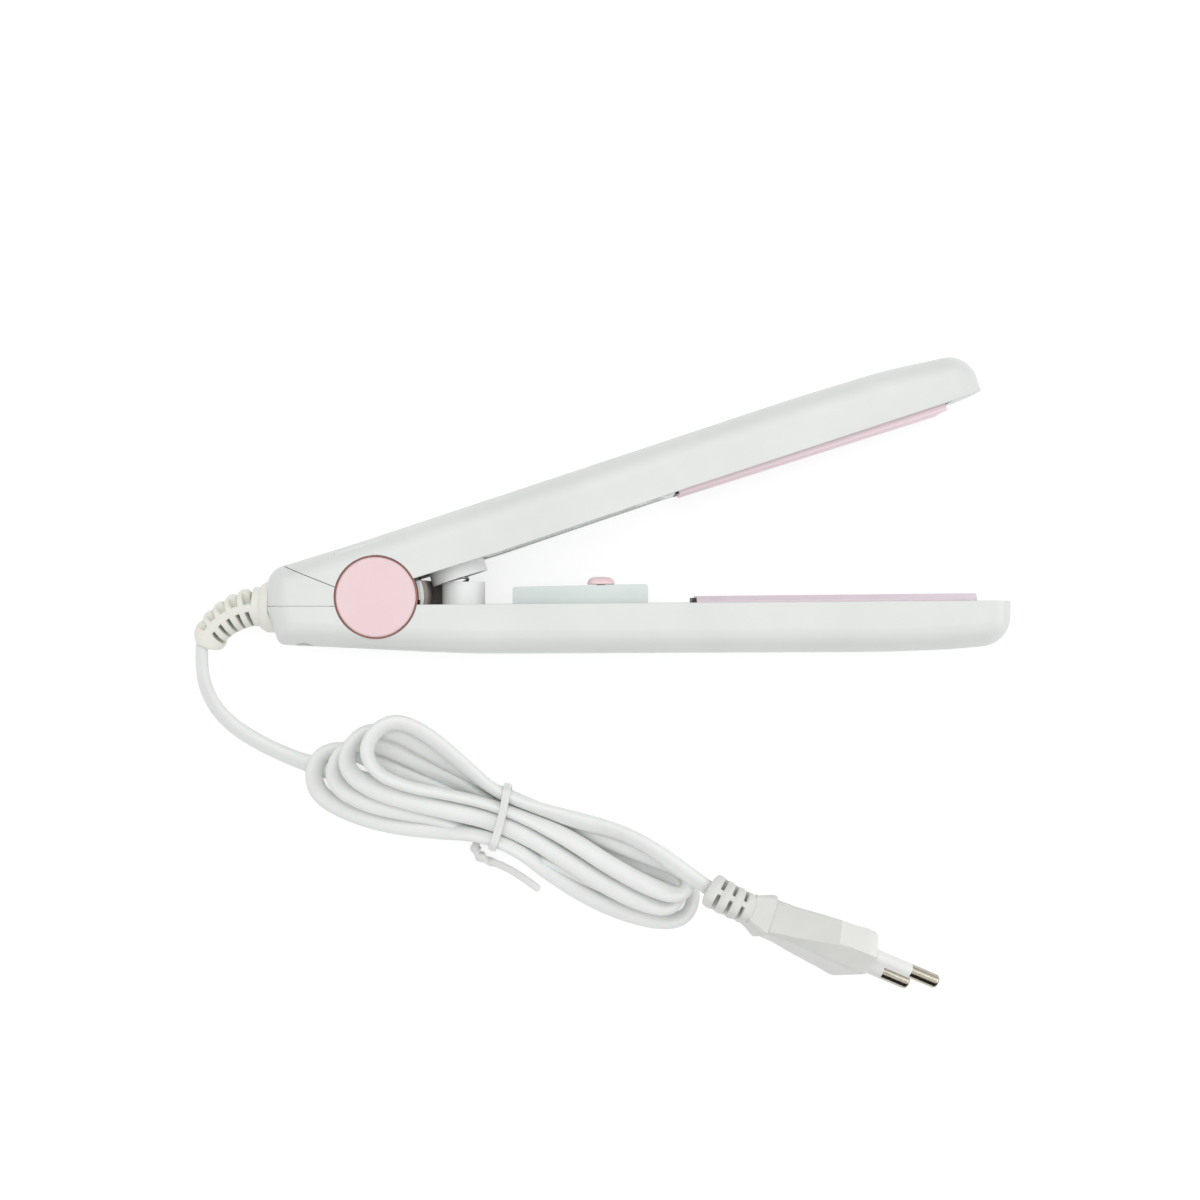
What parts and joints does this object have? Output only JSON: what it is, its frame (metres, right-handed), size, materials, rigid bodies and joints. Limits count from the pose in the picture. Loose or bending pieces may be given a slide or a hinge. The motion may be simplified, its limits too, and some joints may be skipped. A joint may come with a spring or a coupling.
{
  "type": "hair crimper",
  "caption": "Small hair crimper that opens on a side hinge, with ridged heated plates, a slide switch, a bent strain relief and a tied flat cord that ends in a two-pin plug.",
  "frame": {"origin": "on the hinge axis, in the plane that the iron lies on, at the middle of the lower side cap's outer face", "axes": "+Z along the hinge axis, away from the surface; +X along the lower arm to its tip; +Y the way the upper arm opens"},
  "size_m": [0.2286, 0.1781, 0.0315],
  "materials": {
    "shell": "satin",
    "cover": "satin",
    "cap": "satin",
    "knob": "gloss",
    "shroud": "matte",
    "cup": "satin",
    "holder": "matte",
    "switch_body": "matte",
    "lower_plate": "ceramic coated, satin",
    "upper_plate": "ceramic coated, satin",
    "heater": "in insulating foil",
    "clip": "plain",
    "pin_steel": "ground",
    "spring": "plain",
    "bush": "plain",
    "screw": "zinc plated",
    "fuse": "plain",
    "lead": "silicone",
    "relief": "soft PVC, satin",
    "cord": "soft PVC, satin",
    "tie": "satin",
    "plug": "satin",
    "contact": "nickel plated",
    "sleeve": "satin"
  },
  "bodies": {
    "lower_arm": {"lower_shell": "shell", "rear_cover": "shell", "lower_inner_cover": "cover", "side_cap_back": "cap", "side_cap_front": "cap", "hinge_pin": "pin_steel", "hinge_shroud": "shroud", "lower_spring_cup": "cup", "return_spring": "spring", "switch_housing": "cover", "slide_switch": "switch_body", "lower_plate_holder": "holder", "lower_plate": "lower_plate", "lower_heater": "heater", "lower_heater_clip": "clip", "mains_leads": "lead", "lower_heater_leads": "lead", "thermal_fuse": "fuse", "lower_cover_screws": "screw", "rear_cover_screws": "screw", "strain_relief": "relief", "cord_tail": "cord", "cord_lead": "cord", "cord_hank": "cord", "twist_tie": "tie", "plug_body": "plug", "plug_pins": "contact", "pin_sleeves": "sleeve", "plug_relief": "plug"},
    "upper_arm": {"upper_shell": "shell", "upper_inner_cover": "cover", "hinge_bushes": "bush", "upper_spring_cup": "cup", "upper_plate_holder": "holder", "upper_plate": "upper_plate", "upper_heater": "heater", "upper_heater_clip": "clip", "upper_heater_leads": "lead", "upper_cover_screw": "screw"},
    "knob": {"switch_knob": "knob", "switch_slider": "switch_body"}
  },
  "joints": [
    {"name": "arm_hinge", "type": "hinge", "parent": "lower_arm", "child": "upper_arm", "pos_m": [0, 0, 0], "axis": [0, 0, 1], "range_deg": [-18.1, 0], "stiffness_Nm_per_rad": 0.46, "springref_deg": 18.91, "deforming": ["return_spring"]},
    {"name": "switch_slide", "type": "slide", "parent": "lower_arm", "child": "knob", "axis": [1, 0, 0], "range_m": [-0.004, 0]}
  ]
}
